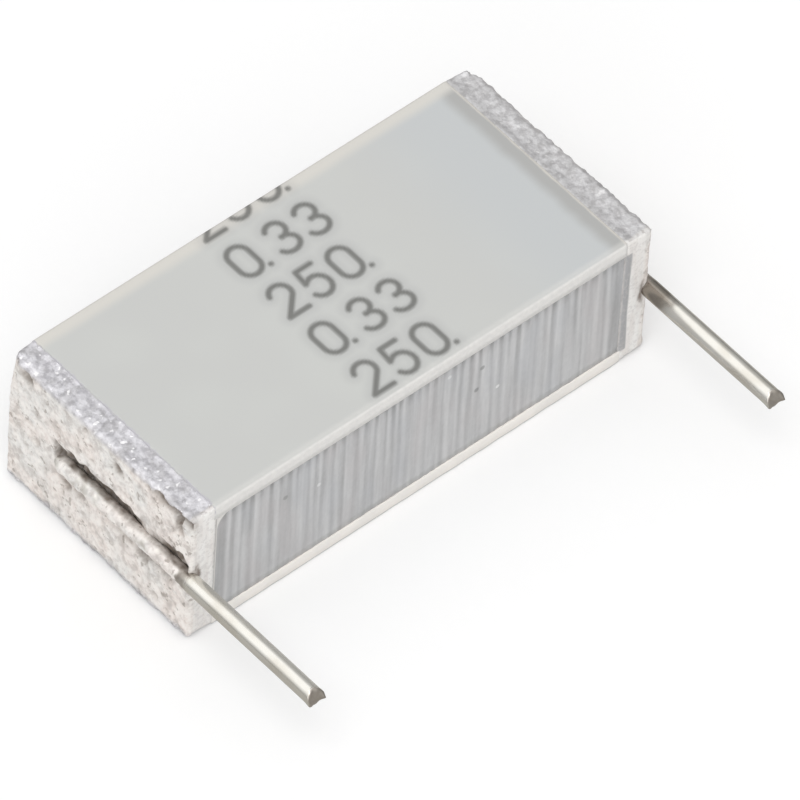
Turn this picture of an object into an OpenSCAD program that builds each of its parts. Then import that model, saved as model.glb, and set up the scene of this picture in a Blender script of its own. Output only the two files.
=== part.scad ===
// Stacked film capacitor without a case, lying on its broad face.
// A block of metallised film layers is sawn from a long wafer, so its two long
// sides are raw cuts. A thick film covers the top and another the underside,
// sprayed metal joins the layers at both ends, and a tinned wire is welded
// across each end. The ends face -X and +X and the wires leave towards -Y.

/* [Film block] */
// Distance between the centres of the two lead wires
lead_pitch = 15; // [7.5:0.5:30]
// Width of the block, from the sawn front to the sawn back
body_w = 6.9; // [4:0.1:16]
// Thickness of the metallised film layers
stack_t = 3.7; // [2.5:0.1:12]
// Depth that the metallised layers stand back from the sawn edges of the covers
stack_setback = 0.04; // [0:0.01:0.15]

/* [Cover films] */
// Thickness of the cover film on top
top_cover_t = 0.5; // [0.2:0.05:1.2]
// Thickness of the cover film underneath
bottom_cover_t = 0.4; // [0.2:0.05:1.2]
// Width of the chamfer along the ends of the covers
cover_chamfer = 0.1; // [0.02:0.02:0.18]

/* [Saw marks] */
// Average distance between the saw marks on the sawn sides
score_pitch = 0.28; // [0.2:0.02:1]
// Depth of the deepest saw mark
score_depth = 0.035; // [0.01:0.005:0.1]

/* [End contacts] */
// Thickness of the sprayed metal, from the film ends to the end face
contact_t = 0.8; // [0.5:0.05:1.5]
// Rounding of the sprayed metal's outer edges
contact_r = 0.22; // [0.15:0.01:0.3]
// Gap between the sprayed metal and the outer faces of the covers
contact_inset = 0.03; // [0:0.01:0.15]
// Distance between the grains of the sprayed metal
grain_pitch = 0.3; // [0.25:0.05:1]
// Height of the grains of the sprayed metal
grain_h = 0.07; // [0:0.01:0.12]

/* [Lead wires] */
// Diameter of the lead wires
wire_d = 0.5; // [0.3:0.05:1]
// Free length of the lead wires in front of the block
lead_l = 4.8; // [2:0.1:40]
// Slope of the sheared wire tips
shear_angle = 14; // [0:1:30]

/* [Weld] */
// Length of end face left bare behind the end of the welded wire
weld_margin = 1.9; // [0.8:0.1:3]
// Thickness that the weld has squeezed out of the wire
weld_squeeze = 0.05; // [0.02:0.01:0.1]
// Length of squeezed wire that shows in front of the block
neck_l = 0.3; // [0.1:0.05:1]
// Gap between a welded wire and its bed in the sprayed metal
weld_gap = 0.01; // [0.005:0.005:0.05]
// Width of the crevices beside the welded wire
crevice_w = 0.14; // [0.06:0.02:0.2]
// Depth of the crevices beside the welded wire
crevice_depth = 0.22; // [0.05:0.01:0.35]
// Length of the hollow above the wire where it leaves the end face
exit_l = 0.7; // [0.3:0.1:1.2]

/* [Hidden] */

film_l = lead_pitch - 2 * contact_t;
half_w = body_w / 2;
body_t = bottom_cover_t + stack_t + top_cover_t;
stack_top = bottom_cover_t + stack_t;

// The wires are sunk to half their thickness, at half the height of the block.
wire_z = body_t / 2;
weld_end = half_w - weld_margin;
squeeze = 1 - weld_squeeze / wire_d;
wire_fn = 32;

// Steps of the rounded edges of the sprayed metal, and rings of grains between
// those edges and the film.
edge_steps = 2;
wall_rings = 2;

// The bed of a wire is a half-round channel with flats that clear the wire by
// the weld gap.
bed_steps = 6;
bed_r = (wire_d / 2 + weld_gap) / cos(90 / bed_steps);

// Length of the steep wall that closes the bed behind the end of the wire.
bed_wall = 0.04;

// Half the width that the bed and its crevices take up.
weld_half = bed_r + crevice_w;

// Share of the grain pitch by which the grains stray from even rows.
grain_stray = 0.25;

// --- Film block -----------------------------------------------------------

// One sawn side as points from -X to +X, zigzagging into the stack by a
// different depth at every mark.
function saw_marks(seed) =
    let (
        marks = max(4, round(film_l / score_pitch)),
        depths = rands(0.15, 1, marks, seed),
        step = film_l / marks
    )
    [
        for (i = [0 : marks - 1], half = [0, 1])
            [-film_l / 2 + (i + half / 2) * step, half * depths[i] * score_depth],
        [film_l / 2, 0]
    ];

module film_stack() {
    side_y = half_w - stack_setback;
    front = [for (p = saw_marks(11)) [p.x, p.y - side_y]];
    back = [for (p = saw_marks(23)) [-p.x, side_y - p.y]];
    color("#b4b4b2")
    translate([0, 0, bottom_cover_t])
    linear_extrude(height = stack_t)
    polygon(concat(front, back));
}

// --- Cover films ----------------------------------------------------------

// A strip of cover film with its underside at z = 0 and its upper end edges
// chamfered.
module cover_strip(thickness) {
    chamfer = min(cover_chamfer, thickness / 2);
    translate([0, half_w, 0])
    rotate([90, 0, 0])
    linear_extrude(height = body_w)
    polygon([
        [-film_l / 2, 0],
        [film_l / 2, 0],
        [film_l / 2, thickness - chamfer],
        [film_l / 2 - chamfer, thickness],
        [chamfer - film_l / 2, thickness],
        [-film_l / 2, thickness - chamfer]
    ]);
}

module top_cover() {
    color("#cfd1cc")
    translate([0, 0, stack_top])
    cover_strip(top_cover_t);
}

module bottom_cover() {
    color("#e6ddd4")
    translate([0, 0, bottom_cover_t])
    mirror([0, 0, 1])
    cover_strip(bottom_cover_t);
}

// --- End contacts ---------------------------------------------------------

// Evenly spaced stations from one place to another, about one grain apart.
function grain_steps(from, to) =
    let (cells = max(1, round((to - from) / grain_pitch)))
    [for (i = [0 : cells]) from + (to - from) * i / cells];

// Stations in the rounded edge beyond the flat of a face, from the flat out.
function edge_stations(flat) =
    [for (k = [1 : edge_steps]) flat + contact_r * sin(90 * k / edge_steps)];

// The values of a list with their signs changed, in the opposite order.
function mirrored(list) = [for (i = [len(list) - 1 : -1 : 0]) -list[i]];

// Stations along the wire, with a pair that makes the wall at its end.
function stations_y(half) =
    let (flat = half - contact_r)
    concat(
        mirrored(edge_stations(flat)),
        grain_steps(-flat, weld_end),
        grain_steps(weld_end + bed_wall, flat),
        edge_stations(flat)
    );

// Stations across the wire, crowded over its bed and the crevices beside it.
function stations_z(half) =
    let (
        flat = half - contact_r,
        upper = concat(
            [bed_r + crevice_w / 2],
            grain_steps(weld_half, flat),
            edge_stations(flat)
        ),
        bed = [for (k = [0 : bed_steps]) bed_r * sin(180 * k / bed_steps - 90)]
    )
    concat(mirrored(upper), bed, upper);

// Distance of a point past the flat of a face, as a share of the edge rounding.
function past_flat(v, half) = max(0, abs(v) - (half - contact_r)) / contact_r;

// Pulls a corner of the square outline in to a round one. The amount runs from
// 0, which keeps the square, to 1, which gives a full quarter round.
function rounded_corner(y, z, half_y, half_z, amount) =
    let (
        py = past_flat(y, half_y),
        pz = past_flat(z, half_z),
        reach = norm([py, pz]),
        pull = reach == 0 ? 1 : 1 - amount * (1 - max(py, pz) / reach),
        fy = half_y - contact_r,
        fz = half_z - contact_r
    )
    [
        py == 0 ? y : sign(y) * (fy + py * pull * contact_r),
        pz == 0 ? z : sign(z) * (fz + pz * pull * contact_r)
    ];

// Depth of the bed of the wire, which is as much shallower as the wire is
// squeezed.
function bed_depth(y, z) =
    y > weld_end || abs(z) > bed_r ? 0 : squeeze * sqrt(bed_r * bed_r - z * z);

// Depth of the crevices: the weld has drawn the metal away from the wire over
// part of its length, at other places above it than below it.
function crevice(y, z) =
    let (
        above = z > 0,
        off = abs(abs(z) - bed_r - crevice_w / 2) / (crevice_w / 2),
        along = sin((above ? 0 : 130) + 360 * (weld_end - y) / (above ? 3.6 : 3.1))
    )
    y > weld_end || off >= 1 ? 0 : crevice_depth * (1 - off) * max(0, 0.25 + along);

// Depth of the hollow that opens above the wire at the front edge.
function exit_hollow(y, z) =
    let (
        along = (y + half_w) / exit_l,
        across = (z - bed_r) / (exit_l / 2)
    )
    crevice_depth * max(0, 1 - along) * max(0, 1 - across * across);

// Points of the outer face, row by row from the bottom up. The grains only
// reach inwards, so the face keeps its place.
function face_points(ys, zs, half_y, half_z, seed) =
    let (
        count = len(ys) * len(zs),
        grains = rands(0, 1, count, seed),
        strays = rands(-1, 1, count, seed + 1)
    )
    [
        for (j = [0 : len(zs) - 1], i = [0 : len(ys) - 1])
            let (
                k = j * len(ys) + i,
                y = ys[i],
                z = zs[j],
                past = min(1, max(past_flat(y, half_y), past_flat(z, half_z))),
                fall = contact_r * (1 - sqrt(1 - past * past)),
                grain = grain_h * grains[k] * (1 - past / 2),
                sunk = max(fall + grain, bed_depth(y, z), crevice(y, z), exit_hollow(y, z)),
                loose = past == 0 && abs(z) > weld_half + grain_pitch / 2 ? 1 : 0,
                p = rounded_corner(y, z, half_y, half_z, 1)
            )
            [
                contact_t - min(sunk, max(fall + grain, contact_t / 2)),
                p.x,
                p.y + loose * strays[k] * grain_stray * grain_pitch
            ]
    ];

// Points of one ring round the walls, at a height above the film end. The broad
// sides are grained like the face. The other two are sawn, so they are flat.
function wall_points(corners, half_y, half_z, height, seed) =
    let (grains = rands(0, 1, len(corners), seed))
    [
        for (k = [0 : len(corners) - 1])
            let (
                y = corners[k].x,
                z = corners[k].y,
                broad = max(0, past_flat(z, half_z) - past_flat(y, half_y)),
                p = rounded_corner(y, z, half_y, half_z, height / contact_t)
            )
            [height, p.x, p.y - sign(z) * broad * grain_h * grains[k]]
    ];

// Two triangles over four points, split along either diagonal.
function split(a, b, c, d, turned) =
    turned ? [[a, b, d], [b, c, d]] : [[a, b, c], [a, c, d]];

// Indices of the face points along the rim, once round it.
function rim(ny, nz) =
    concat(
        [for (i = [0 : ny - 2]) i],
        [for (j = [0 : nz - 2]) j * ny + ny - 1],
        [for (i = [ny - 1 : -1 : 1]) (nz - 1) * ny + i],
        [for (j = [nz - 1 : -1 : 1]) j * ny]
    );

// Sprayed metal on a film end at x = 0, grown towards +X and centred on the
// wire in z: a grained face with rounded edges, walls and a flat back.
module sprayed_block(half_y, half_z, seed) {
    ys = stations_y(half_y);
    zs = stations_z(half_z);
    ny = len(ys);
    ring = rim(ny, len(zs));
    turns = len(ring);
    corners = [for (k = ring) [ys[k % ny], zs[floor(k / ny)]]];
    wall = contact_t - contact_r - grain_h;

    face = face_points(ys, zs, half_y, half_z, seed);
    walls = [
        for (j = [wall_rings : -1 : 0])
            each wall_points(corners, half_y, half_z, wall * j / (wall_rings + 1), seed + 2 + j)
    ];
    base = len(face);
    hub = base + len(walls);
    // The rim of the face, then each ring of the walls down to the film.
    rings = concat(
        [ring],
        [for (j = [0 : wall_rings]) [for (k = [0 : turns - 1]) base + j * turns + k]]
    );

    polyhedron(
        points = concat(face, walls, [[0, 0, 0]]),
        faces = concat(
            [
                for (j = [0 : len(zs) - 2], i = [0 : ny - 2])
                    let (a = j * ny + i)
                    each split(a, a + ny, a + ny + 1, a + 1, (i + j) % 2 == 0)
            ],
            [
                for (j = [0 : wall_rings], k = [0 : turns - 1])
                    let (n = (k + 1) % turns)
                    each split(
                        rings[j][k], rings[j][n], rings[j + 1][n], rings[j + 1][k],
                        (j + k) % 2 == 0
                    )
            ],
            [
                for (k = [0 : turns - 1])
                    [hub, rings[wall_rings + 1][k], rings[wall_rings + 1][(k + 1) % turns]]
            ]
        ),
        convexity = 4
    );
}

// An end contact on the +X end of the film block.
module end_contact(seed) {
    translate([film_l / 2, 0, wire_z])
    sprayed_block(half_w - contact_inset, body_t / 2 - contact_inset, seed);
}

module left_contact() {
    color("#d5ccc6")
    mirror([1, 0, 0])
    end_contact(31);
}

module right_contact() {
    color("#d5ccc6")
    end_contact(47);
}

// --- Lead wires -----------------------------------------------------------

// Section of the wire where the weld has squeezed it against the end face.
module squeezed_section() {
    polygon([
        for (i = [0 : wire_fn - 1])
            let (a = 360 * i / wire_fn)
            wire_d / 2 * [squeeze * cos(a), sin(a)]
    ]);
}

// A wire along Y, squeezed where it is welded and with its free end sheared off
// at a slope.
module lead_wire() {
    welded = weld_end + half_w + neck_l;
    round_l = lead_l - neck_l;
    translate([0, weld_end, wire_z])
    rotate([90, 0, 0]) {
        linear_extrude(height = welded)
        squeezed_section();

        translate([0, 0, welded])
        difference() {
            cylinder(d = wire_d, h = round_l, $fn = wire_fn);
            translate([0, wire_d / 2, round_l])
            rotate([shear_angle, 0, 0])
            translate([-wire_d, -2 * wire_d, 0])
            cube([2 * wire_d, 4 * wire_d, wire_d]);
        }
    }
}

module left_lead() {
    color("#cfcabb")
    translate([-lead_pitch / 2, 0, 0])
    lead_wire();
}

module right_lead() {
    color("#cfcabb")
    translate([lead_pitch / 2, 0, 0])
    lead_wire();
}

film_stack();
top_cover();
bottom_cover();
left_contact();
right_contact();
left_lead();
right_lead();
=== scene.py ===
import math
import random

import bmesh
import bpy
from bpy.props import (
    FloatProperty, FloatVectorProperty, IntProperty, PointerProperty, StringProperty)
from bpy.types import Operator, Panel, PropertyGroup
from mathutils import Matrix, Vector, noise


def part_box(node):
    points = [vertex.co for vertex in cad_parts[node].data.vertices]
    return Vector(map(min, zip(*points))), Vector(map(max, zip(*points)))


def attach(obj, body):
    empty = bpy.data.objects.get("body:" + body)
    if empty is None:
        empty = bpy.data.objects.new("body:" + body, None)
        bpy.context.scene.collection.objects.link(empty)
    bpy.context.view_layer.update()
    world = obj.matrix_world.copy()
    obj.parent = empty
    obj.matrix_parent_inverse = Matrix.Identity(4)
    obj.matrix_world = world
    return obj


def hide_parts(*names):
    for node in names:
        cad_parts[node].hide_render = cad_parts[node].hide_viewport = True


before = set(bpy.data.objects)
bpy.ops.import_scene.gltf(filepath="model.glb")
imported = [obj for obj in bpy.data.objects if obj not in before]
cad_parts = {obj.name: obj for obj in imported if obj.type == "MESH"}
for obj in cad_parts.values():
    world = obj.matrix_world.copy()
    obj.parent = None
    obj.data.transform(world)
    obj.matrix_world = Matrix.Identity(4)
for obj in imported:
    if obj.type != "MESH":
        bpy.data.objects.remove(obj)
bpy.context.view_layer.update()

bl_info = {
    "name": "Stacked film capacitor",
    "version": (1, 0, 0),
    "blender": (4, 5, 0),
    "location": "View3D > Sidebar > Capacitor",
    "description": "Gives the solids of an uncased stacked film capacitor their finished looks",
    "category": "Object",
}

MM = 0.001
# Places that are nearer than this are the same one.
SAME_PLACE = 1e-7

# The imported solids, whose boxes place everything below.
TOP_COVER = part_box("top_cover")
BOTTOM_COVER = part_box("bottom_cover")
FILM_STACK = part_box("film_stack")
LEFT_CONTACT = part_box("left_contact")
LEFT_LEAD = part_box("left_lead")
RIGHT_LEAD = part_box("right_lead")

FILM_END = TOP_COVER[1].x
HALF_WIDTH = TOP_COVER[1].y
BLOCK_TOP = TOP_COVER[1].z
WIRE_RADIUS = (LEFT_LEAD[1].x - LEFT_LEAD[0].x) / 2
WIRE_X = (RIGHT_LEAD[0].x + RIGHT_LEAD[1].x) / 2
WIRE_Z = (LEFT_LEAD[0].z + LEFT_LEAD[1].z) / 2
WELD_END = LEFT_LEAD[1].y
WIRE_TIP = LEFT_LEAD[0].y


# --- Shader arithmetic ----------------------------------------------------


class Value:
    """A shader socket that can be written in plain arithmetic."""

    def __init__(self, finish, socket):
        self.finish = finish
        self.socket = socket

    def math(self, operation, first, second=0.0):
        return self.finish.add("ShaderNodeMath", {"operation": operation}, {0: first, 1: second})

    def __add__(self, other):
        return self.math("ADD", self, other)

    def __radd__(self, other):
        return self.math("ADD", other, self)

    def __sub__(self, other):
        return self.math("SUBTRACT", self, other)

    def __rsub__(self, other):
        return self.math("SUBTRACT", other, self)

    def __mul__(self, other):
        return self.math("MULTIPLY", self, other)

    def __rmul__(self, other):
        return self.math("MULTIPLY", other, self)

    def __pow__(self, other):
        return self.math("POWER", self, other)

    def over(self, low, high):
        """0 up to low, 1 from high on, and smooth between them."""
        settings = {"interpolation_type": "SMOOTHSTEP"}
        sockets = {"Value": self, "From Min": low, "From Max": high}
        return self.finish.add("ShaderNodeMapRange", settings, sockets)

    def under(self, low, high):
        """1 up to low, 0 from high on, and smooth between them."""
        return 1 - self.over(low, high)

    def larger(self, other):
        return self.math("MAXIMUM", self, other)

    def sine(self):
        return self.math("SINE", self)

    def absolute(self):
        return self.math("ABSOLUTE", self)


class Finish:
    """The nodes of a material, or of a world, which are added one call at a time."""

    def __init__(self, owner, coordinate="Object"):
        self.owner = owner
        owner.use_nodes = True
        self.tree = owner.node_tree
        self.tree.nodes.clear()
        self.place = self.add("ShaderNodeTexCoord", {}, {}, coordinate)
        self.x, self.y, self.z = (
            self.add("ShaderNodeSeparateXYZ", {}, {0: self.place}, axis) for axis in range(3)
        )

    def add(self, kind, settings, sockets, output=0):
        """Adds a node, gives it its settings and then its sockets, and returns one output."""
        node = self.tree.nodes.new(kind)
        for name, setting in settings.items():
            if name == "stops":
                self.set_stops(node.color_ramp, setting)
            else:
                setattr(node, name, setting)
        for key, value in sockets.items():
            if isinstance(value, Value):
                self.tree.links.new(value.socket, node.inputs[key])
            else:
                node.inputs[key].default_value = value
        return Value(self, node.outputs[output])

    @staticmethod
    def set_stops(ramp, stops):
        while len(ramp.elements) < len(stops):
            ramp.elements.new(0.5)
        for element, (position, colour) in zip(ramp.elements, stops):
            element.position = position
            element.color = (*colour, 1.0)

    def attribute(self, name):
        return self.add("ShaderNodeAttribute", {"attribute_name": name}, {}, "Fac")

    def noise(self, grain, detail=2.0, stretch=(1, 1, 1), roughness=0.5):
        """Noise whose features are about one grain across, before any stretch."""
        place = self.add("ShaderNodeMapping", {}, {"Vector": self.place, "Scale": stretch})
        sockets = {"Vector": place, "Scale": 1 / grain, "Detail": detail, "Roughness": roughness}
        return self.add("ShaderNodeTexNoise", {}, sockets)

    def ray(self, kind):
        """1 for the rays of one kind, 0 for all others."""
        return self.add("ShaderNodeLightPath", {}, {}, f"Is {kind} Ray")

    def ramp(self, value, stops):
        return self.add("ShaderNodeValToRGB", {"stops": stops}, {"Fac": value})

    def blend(self, amount, first, second):
        """Mixes two colours, each a tuple or a link."""
        first, second = (c if isinstance(c, Value) else (*c, 1.0) for c in (first, second))
        sockets = {0: amount, 6: first, 7: second}
        return self.add("ShaderNodeMix", {"data_type": "RGBA"}, sockets, 2)

    def paint(self, colour, *coats):
        """Lays coats over a colour in turn, each a mask and its own colour."""
        for mask, coat in coats:
            colour = self.blend(mask, colour, coat)
        return colour

    def bump(self, height, distance, strength=1.0, base=None):
        sockets = {"Height": height, "Distance": distance, "Strength": strength}
        if base:
            sockets["Normal"] = base
        return self.add("ShaderNodeBump", {}, sockets)

    def finish(self, **sockets):
        """Ends the material in a Principled shader and returns the material."""
        named = {name.replace("_", " "): value for name, value in sockets.items()}
        return self.end_in(self.add("ShaderNodeBsdfPrincipled", {}, named))

    def end_in(self, surface, kind="ShaderNodeOutputMaterial"):
        """Shows a shader as the surface and returns what the nodes belong to."""
        end = self.tree.nodes.new(kind)
        self.tree.links.new(surface.socket, end.inputs["Surface"])
        return self.owner


def new_finish(name):
    return Finish(bpy.data.materials.new(name))


def shade(grey):
    """A neutral colour from one linear value."""
    return (grey, grey, grey)


def hypotenuse(first, second):
    """The distance that two values at right angles make."""
    return (first ** 2 + second ** 2) ** 0.5


# --- Settings -------------------------------------------------------------


class CoverSettings(PropertyGroup):
    film: FloatVectorProperty(
        name="Film", description="Colour of the milky cover film",
        subtype="COLOR", size=3, min=0, max=1, default=(0.594, 0.599, 0.582))
    cut_edge: FloatVectorProperty(
        name="Cut edge", description="Colour of the film's sawn edges",
        subtype="COLOR", size=3, min=0, max=1, default=(0.84, 0.825, 0.80))
    underside: FloatVectorProperty(
        name="Underside film", description="Colour of the thin film underneath",
        subtype="COLOR", size=3, min=0, max=1, default=(0.97, 0.93, 0.88))
    ink: FloatVectorProperty(
        name="Ink", description="Colour of the printed numbers",
        subtype="COLOR", size=3, min=0, max=1, default=(0.15, 0.15, 0.14))
    upper_number: StringProperty(
        name="Upper number", description="Digits of the odd rows of print", default="0.33")
    lower_number: StringProperty(
        name="Lower number", description="Digits of the even rows of print", default="250.")
    digit_height: FloatProperty(
        name="Digit height", description="Height of the printed digits",
        unit="LENGTH", default=1.03 * MM)
    row_pitch: FloatProperty(
        name="Row pitch", description="Distance between two rows of print",
        unit="LENGTH", default=1.59 * MM)
    stroke: FloatProperty(
        name="Stroke", description="Width of the printed strokes",
        unit="LENGTH", default=0.15 * MM)


class StackSettings(PropertyGroup):
    film: FloatVectorProperty(
        name="Sawn film", description="Colour of the sawn film layers",
        subtype="COLOR", size=3, min=0, max=1, default=(0.53, 0.53, 0.535))
    bar_pitch: FloatProperty(
        name="Bar pitch", description="Distance between two upright bars on the sawn film",
        unit="LENGTH", default=0.3 * MM)
    mark_pitch: FloatProperty(
        name="Mark pitch", description="Average distance between two saw marks",
        unit="LENGTH", default=0.26 * MM)
    mark_depth: FloatProperty(
        name="Mark depth", description="Depth of the deepest saw marks",
        unit="LENGTH", default=0.03 * MM)


class ContactSettings(PropertyGroup):
    metal: FloatVectorProperty(
        name="Metal", description="Colour of the sprayed metal on the end faces",
        subtype="COLOR", size=3, min=0, max=1, default=(0.88, 0.81, 0.765))
    grain_size: FloatProperty(
        name="Grain size", description="Size of the grains of the sprayed metal",
        unit="LENGTH", default=0.24 * MM)
    grain_height: FloatProperty(
        name="Grain height", description="Height of the grains of the sprayed metal",
        unit="LENGTH", default=0.045 * MM)
    cell: FloatProperty(
        name="Mesh cell", description="Size of the mesh cells on the end contacts",
        unit="LENGTH", default=0.045 * MM)
    pits: IntProperty(
        name="Pits", description="Number of small pits on each end face", min=0, default=70)


class LeadSettings(PropertyGroup):
    tin: FloatVectorProperty(
        name="Tin", description="Colour of the tinned wire",
        subtype="COLOR", size=3, min=0, max=1, default=(0.83, 0.81, 0.755))
    spatter: FloatProperty(
        name="Spatter", description="Height of the metal grains along the welded wire",
        unit="LENGTH", default=0.03 * MM)
    burr: FloatProperty(
        name="Burr", description="How far the sheared tip is spread",
        unit="LENGTH", default=0.03 * MM)


class StageSettings(PropertyGroup):
    azimuth: FloatProperty(
        name="Azimuth", description="Direction of the camera round the part",
        subtype="ANGLE", default=math.radians(-43.9))
    elevation: FloatProperty(
        name="Elevation", description="Height of the camera above the horizon",
        subtype="ANGLE", default=math.radians(50.05))
    roll: FloatProperty(
        name="Roll", description="Lean of the camera to one side",
        subtype="ANGLE", default=math.radians(3.8))
    distance: FloatProperty(
        name="Distance", description="Distance of the camera from the part",
        unit="LENGTH", default=0.4)
    width_seen: FloatProperty(
        name="Width seen", description="Width that the camera takes in at the part",
        unit="LENGTH", default=19.87 * MM)
    aim_right: FloatProperty(
        name="Aim to the right", description="How far right of the origin the camera aims",
        unit="LENGTH", default=1.838 * MM)
    aim_up: FloatProperty(
        name="Aim up", description="How far above the origin the camera aims",
        unit="LENGTH", default=0.224 * MM)
    sky: FloatProperty(
        name="Sky", description="Brightness of the even light from all round", default=0.74)
    key: FloatProperty(
        name="Key", description="Power of the large lamp above the part, in watts", default=0.6)


# --- Making pieces --------------------------------------------------------


def new_object(name, data):
    shown = bpy.data.objects.new(name, data)
    bpy.context.scene.collection.objects.link(shown)
    return shown


def finished_piece(name, bm, material, node):
    """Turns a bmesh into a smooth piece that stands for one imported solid."""
    bmesh.ops.recalc_face_normals(bm, faces=bm.faces[:])
    mesh = bpy.data.meshes.new(name)
    bm.to_mesh(mesh)
    bm.free()
    mesh.shade_smooth()
    mesh.materials.append(material)
    piece = new_object(name, mesh)
    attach(piece, "root")
    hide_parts(node)


def box_mesh(low, high, bevel=0.0):
    """A bmesh box between two corners, with its edges rounded where asked."""
    bm = bmesh.new()
    size, middle = high - low, (high + low) / 2
    place = Matrix.Translation(middle) @ Matrix.Diagonal((*size, 1))
    bmesh.ops.create_cube(bm, size=1, matrix=place)
    if bevel:
        bmesh.ops.bevel(bm, geom=bm.edges[:], offset=bevel, offset_type="OFFSET",
                        segments=2, profile=0.5, affect="EDGES", material=-1)
    return bm


def open_edges(bm):
    return [e for e in bm.edges if e.is_boundary]


def vertices_of(geometry):
    return [g for g in geometry if isinstance(g, bmesh.types.BMVert)]


def cut_along(bm, axis, cuts):
    """Divides every edge that runs along one axis."""
    edges = [e for e in bm.edges if is_along(e, axis)]
    bmesh.ops.subdivide_edges(bm, edges=edges, cuts=cuts, use_grid_fill=True)


def is_along(edge, axis):
    run = edge.verts[1].co - edge.verts[0].co
    return abs(run[axis]) > 0.99 * run.length


def smooth_step(low, high, value):
    t = min(1.0, max(0.0, (value - low) / (high - low)))
    return t * t * (3 - 2 * t)


def rough_at(x, y, z):
    """A smooth random value, from about -1 to 1, at a place in its own scale."""
    return noise.noise(Vector((x, y, z)))


def distance_to_path(point, path):
    """Distance from a 2D point to a line through 2D points."""
    nearest = math.inf
    for start, end in zip(path, path[1:]):
        run = end - start
        along = max(0.0, min(1.0, (point - start).dot(run) / run.length_squared))
        nearest = min(nearest, (point - start - run * along).length)
    return nearest


# --- End contacts ---------------------------------------------------------

CONTACT_LOW, CONTACT_HIGH = LEFT_CONTACT
CONTACT_THICKNESS = CONTACT_HIGH.x - CONTACT_LOW.x
# Half the width and the height of a contact, a hair inside the sawn sides.
CONTACT_HALF = Vector((0, HALF_WIDTH - 0.005 * MM, (CONTACT_HIGH.z - CONTACT_LOW.z) / 2))
# Rounding of the edges round an end face.
TOP_EDGE = 0.18 * MM
BOTTOM_EDGE = 0.09 * MM
FRONT_EDGE = 0.16 * MM
# The back edge, at its foot and at its top: that of the right contact has
# crumbled from top to bottom, and that of the left only near its top.
BACK_EDGES = {-1: (0.12 * MM, 0.42 * MM), 1: (0.45 * MM, 0.5 * MM)}
# Rounding of the edges between the broad sides and the sawn ones.
SAWN_ROUND = 0.09 * MM
# The metal creeps over the film on the right and the film over it on the left.
CREEP = {-1: 0.0, 1: 0.08 * MM}

CRACK_DEPTH = 0.25 * MM
CREVICE_DEPTH = 0.3 * MM
EXIT_HOLLOW_DEPTH = 0.36 * MM
# Depth from which the dirt and painted shade of a hollow are as dark as they get.
DARK_DEPTH = 0.16 * MM
# Radius of the wire's bed, as a share of the wire's own.
BED_FIT = 0.97

# Lines of the crack near the upper front corner of the left end face, in
# millimetres along Y and Z.
CRACK = [
    [(-2.1, 2.0), (-2.3, 2.02), (-2.6, 1.98), (-2.95, 2.07), (-3.15, 1.98), (-3.4, 2.02)],
    [(-2.95, 2.05), (-2.92, 1.75), (-2.98, 1.45)],
]

# Pits that stand out on the left end face: place along Y and Z, radius and
# depth, in millimetres.
LARGE_PITS = [
    (2.8, 1.87, 0.19, 0.2), (-2.2, 2.02, 0.16, 0.25), (-0.62, 1.58, 0.17, 0.2),
    (-1.78, 1.98, 0.1, 0.12), (1.22, -0.74, 0.17, 0.16), (-1.6, -0.64, 0.2, 0.25),
    (-1.75, -0.85, 0.12, 0.15), (-2.35, -0.52, 0.1, 0.12), (2.35, -0.1, 0.1, 0.1),
    (0.6, 1.95, 0.09, 0.1), (-2.2, -1.75, 0.09, 0.1), (1.9, -2.1, 0.1, 0.12),
    (-0.5, -2.0, 0.08, 0.1),
]


def small_pits(settings, seed):
    """Random small pits over an end face."""
    dice = random.Random(seed)
    return [
        (dice.uniform(-3.3, 3.3), dice.uniform(-2.15, 2.15), dice.uniform(0.03, 0.075), 0.08)
        for _ in range(settings.pits)
    ]


def pit_depth(y, z, pits):
    """How deep the pits are at a place on an end face, in metres."""
    depth = 0.0
    for pit_y, pit_z, radius, deep in pits:
        reach = math.hypot(y / MM - pit_y, z / MM - pit_z) / radius
        if reach < 1.6:
            depth = max(depth, deep * (1 - smooth_step(0.2, 1.6, reach)))
    return depth * MM


def crack_depth(y, z):
    """Depth of the crack near the upper front corner."""
    place = Vector((y, z)) / MM
    if place.x > -1.8 or place.y < 1.1:
        return 0.0
    wander = 0.05 * rough_at(place.x * 6, place.y * 6, 3.0)
    nearest = min(distance_to_path(place, [Vector(p) for p in line]) for line in CRACK)
    return CRACK_DEPTH * (1 - smooth_step(0.02, 0.17, nearest + wander))


def crevice_strength(y, above):
    """How far the metal has drawn away from the wire at a place along the weld,
    from 0 where it holds to about 1."""
    along = (WELD_END - y) / MM
    rough = rough_at(along * 1.9, 9.0 if above else 2.0, 0.5)
    if above:
        strength = 1.0 + 0.4 * rough - 0.7 * math.exp(-((along - 3.4) / 0.7) ** 2)
    else:
        strength = 0.6 * rough + 0.5 * math.exp(-((along - 0.6) / 0.4) ** 2)
        strength += 0.6 * math.exp(-((along - 3.2) / 0.6) ** 2)
    patchy = 0.8 + 0.45 * rough_at(along * 4.3, 1.0 if above else 6.0, 2.5)
    closed = smooth_step(0.05, 0.3, (y + CONTACT_HALF.y) / MM)
    return max(0.0, min(1.0, strength)) * patchy * closed


def crevice_depth(y, z):
    """Depth of the gaps that the weld has left beside the wire."""
    if y > WELD_END + 0.12 * MM:
        return 0.0
    above = z > 0
    ragged = rough_at(y / MM * 3.1, z / MM * 4, 5.0 if above else 8.0)
    ragged += 0.4 * rough_at(y / MM * 9, z / MM * 9, 3.0)
    away = (abs(z) - WIRE_RADIUS) / MM + 0.11 * ragged
    if above:
        shape = 1 - smooth_step(0.1, 0.42, away)
    else:
        shape = 1 - smooth_step(0.06, 0.2, abs(away - 0.33))
    return CREVICE_DEPTH * crevice_strength(y, above) * shape


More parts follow.
